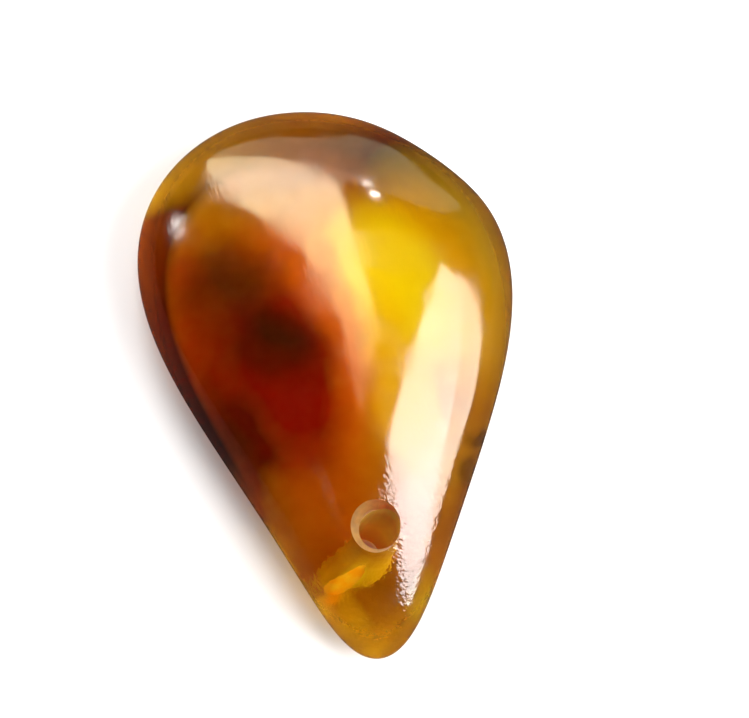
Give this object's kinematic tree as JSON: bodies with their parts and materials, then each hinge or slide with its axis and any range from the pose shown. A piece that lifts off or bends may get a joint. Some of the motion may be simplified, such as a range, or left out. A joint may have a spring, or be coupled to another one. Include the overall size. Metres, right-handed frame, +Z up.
{
  "type": "polished amber drop",
  "caption": "Pear-shaped polished amber cabochon, see-through honey and dark red resin, with a flat back and a small hole drilled through its narrow end.",
  "frame": {"origin": "under the middle of the outline, on the surface that the flat back lies on", "axes": "+X across the width, +Y along the length towards the wide end, +Z up through the dome, so the drilled narrow end points to -Y"},
  "size_m": [0.02, 0.03, 0.0077],
  "materials": {
    "amber": "polished, see-through honey to dark red resin"
  },
  "bodies": {
    "root": {"amber_drop": "amber"}
  },
  "joints": []
}
